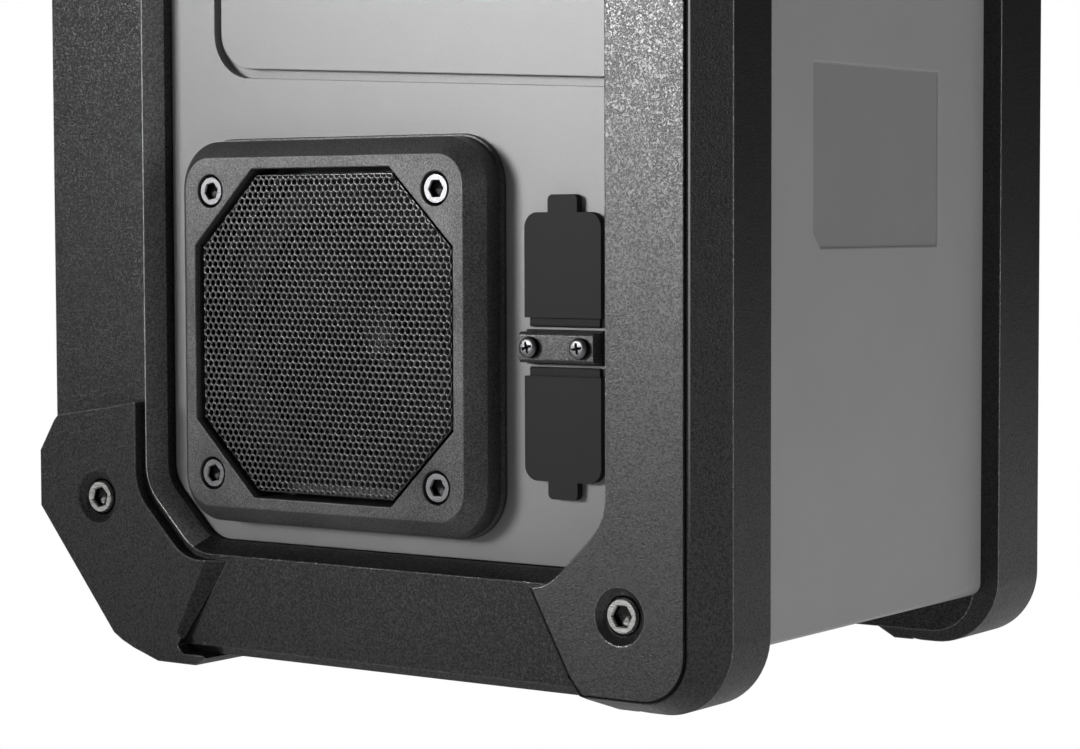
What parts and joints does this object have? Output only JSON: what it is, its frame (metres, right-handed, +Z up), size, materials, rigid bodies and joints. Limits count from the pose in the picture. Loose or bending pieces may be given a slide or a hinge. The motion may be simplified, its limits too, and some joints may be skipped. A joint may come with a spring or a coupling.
{
  "type": "jobsite radio",
  "caption": "Jobsite radio in a roll cage with guards, a speaker on each wide face, port flaps, a battery bay behind a hinged door, a folding handle and a telescopic antenna.",
  "frame": {"origin": "on the floor, under the middle of the cage", "axes": "+Z up; -Y is the rear with the small speaker and the port flaps; +Y is the front with the main speaker and the knobs; +X is the side with the full-height guards"},
  "size_m": [0.232, 0.192, 0.283],
  "materials": {
    "guard": "coarse leather grain",
    "frame": "fine moulded texture",
    "housing": "fine moulded texture",
    "panel": "fine moulded texture",
    "bezel": "fine moulded texture",
    "grille_metal": "satin powder coat",
    "zinc_screw": "zinc plated",
    "black_screw": "black oxide",
    "soft_rubber": "matt",
    "dark_plastic": "smooth matt",
    "steel": "plain",
    "paper_cone": "pressed fibre",
    "circuit_board": "solder mask",
    "lens": "clear over dark",
    "display": "reflective panel",
    "chrome": "polished",
    "brass": "plain",
    "accent": "smooth matt"
  },
  "bodies": {
    "cage": {"rear_frame": "frame", "front_frame": "frame", "rear_side_guard": "guard", "front_side_guard": "guard", "rear_corner_guards": "guard", "front_corner_guards": "guard", "cage_screws": "zinc_screw", "rear_housing": "housing", "front_housing": "housing", "left_side_panel": "panel", "right_side_panel": "panel", "rear_panel": "panel", "front_panel": "panel", "rear_bezel": "bezel", "rear_bezel_screws": "black_screw", "rear_grille": "grille_metal", "rear_basket": "black_screw", "rear_magnet": "steel", "rear_surround": "soft_rubber", "front_bezel": "bezel", "front_bezel_screws": "black_screw", "front_grille": "grille_metal", "front_basket": "black_screw", "front_magnet": "steel", "front_surround": "soft_rubber", "flap_strip": "soft_rubber", "clamp_bar": "bezel", "clamp_screws": "black_screw", "aux_socket": "dark_plastic", "dc_socket": "dark_plastic", "battery_bay": "dark_plastic", "battery_terminals": "brass", "door_hinge_pin": "steel", "main_board": "circuit_board", "control_board": "circuit_board", "display_module": "display", "display_lens": "lens", "handle_pins": "steel", "antenna_base": "dark_plastic", "antenna_pin": "steel"},
    "handle": {"handle_bail": "dark_plastic", "handle_grip": "soft_rubber"},
    "antenna_lower": {"antenna_tube_1": "chrome"},
    "antenna_middle": {"antenna_tube_2": "chrome"},
    "antenna_upper": {"antenna_tube_3": "chrome"},
    "volume_knob": {"volume_knob": "soft_rubber"},
    "tuning_knob": {"tuning_knob": "soft_rubber"},
    "preset_button_1": {"preset_button_1": "dark_plastic"},
    "preset_button_2": {"preset_button_2": "dark_plastic"},
    "preset_button_3": {"preset_button_3": "dark_plastic"},
    "mode_button": {"mode_button": "accent"},
    "battery_door": {"battery_door": "panel"},
    "door_latch": {"door_latch": "guard"},
    "battery": {"battery_pack": "dark_plastic"},
    "battery_release": {"battery_release": "accent"},
    "aux_flap": {"aux_flap": "soft_rubber"},
    "dc_flap": {"dc_flap": "soft_rubber"},
    "rear_cone": {"rear_cone": "paper_cone"},
    "front_cone": {"front_cone": "paper_cone"}
  },
  "joints": [
    {"name": "handle_fold", "type": "hinge", "parent": "cage", "child": "handle", "pos_m": [0, -0.00375, 0.256], "axis": [1, 0, 0], "range_deg": [0, 100]},
    {"name": "antenna_hinge", "type": "hinge", "parent": "cage", "child": "antenna_lower", "pos_m": [-0.10412, -0.058, 0.2765], "axis": [0, -1, 0], "range_deg": [0, 180]},
    {"name": "antenna_middle_slide", "type": "slide", "parent": "antenna_lower", "child": "antenna_middle", "axis": [1, 0, 0], "range_m": [0, 0.15]},
    {"name": "antenna_upper_slide", "type": "slide", "parent": "antenna_middle", "child": "antenna_upper", "axis": [1, 0, 0], "range_m": [0, 0.15]},
    {"name": "volume_turn", "type": "hinge", "parent": "cage", "child": "volume_knob", "pos_m": [-0.05125, 0.088, 0.188], "axis": [0, 1, 0], "range_deg": [-150, 150]},
    {"name": "tuning_turn", "type": "hinge", "parent": "cage", "child": "tuning_knob", "pos_m": [0.06075, 0.088, 0.188], "axis": [0, 1, 0], "continuous": true},
    {"name": "preset_button_1_press", "type": "slide", "parent": "cage", "child": "preset_button_1", "axis": [0, -1, 0], "range_m": [0, 0.0015], "stiffness_N_per_m": 400},
    {"name": "preset_button_2_press", "type": "slide", "parent": "cage", "child": "preset_button_2", "axis": [0, -1, 0], "range_m": [0, 0.0015], "stiffness_N_per_m": 400},
    {"name": "preset_button_3_press", "type": "slide", "parent": "cage", "child": "preset_button_3", "axis": [0, -1, 0], "range_m": [0, 0.0015], "stiffness_N_per_m": 400},
    {"name": "mode_button_press", "type": "slide", "parent": "cage", "child": "mode_button", "axis": [0, -1, 0], "range_m": [0, 0.0015], "stiffness_N_per_m": 400},
    {"name": "battery_door_hinge", "type": "hinge", "parent": "cage", "child": "battery_door", "pos_m": [0.079, -0.082, 0.203], "axis": [0, 0, 1], "range_deg": [0, 90]},
    {"name": "door_latch_slide", "type": "slide", "parent": "battery_door", "child": "door_latch", "axis": [-1, 0, 0], "range_m": [0, 0.004]},
    {"name": "battery_slide", "type": "slide", "parent": "cage", "child": "battery", "axis": [1, 0, 0], "range_m": [0, 0.012]},
    {"name": "battery_release_press", "type": "slide", "parent": "battery", "child": "battery_release", "axis": [0, 1, 0], "range_m": [0, 0.002], "stiffness_N_per_m": 400},
    {"name": "aux_flap_hinge", "type": "hinge", "parent": "cage", "child": "aux_flap", "pos_m": [0.0636, -0.08425, 0.098], "axis": [1, 0, 0], "range_deg": [0, 90]},
    {"name": "dc_flap_hinge", "type": "hinge", "parent": "cage", "child": "dc_flap", "pos_m": [0.0636, -0.08425, 0.0862], "axis": [-1, 0, 0], "range_deg": [0, 90]},
    {"name": "rear_cone_travel", "type": "slide", "parent": "cage", "child": "rear_cone", "axis": [0, 1, 0], "range_m": [-0.0015, 0.0015], "stiffness_N_per_m": 1500},
    {"name": "front_cone_travel", "type": "slide", "parent": "cage", "child": "front_cone", "axis": [0, 1, 0], "range_m": [-0.0015, 0.0015], "stiffness_N_per_m": 1500}
  ]
}
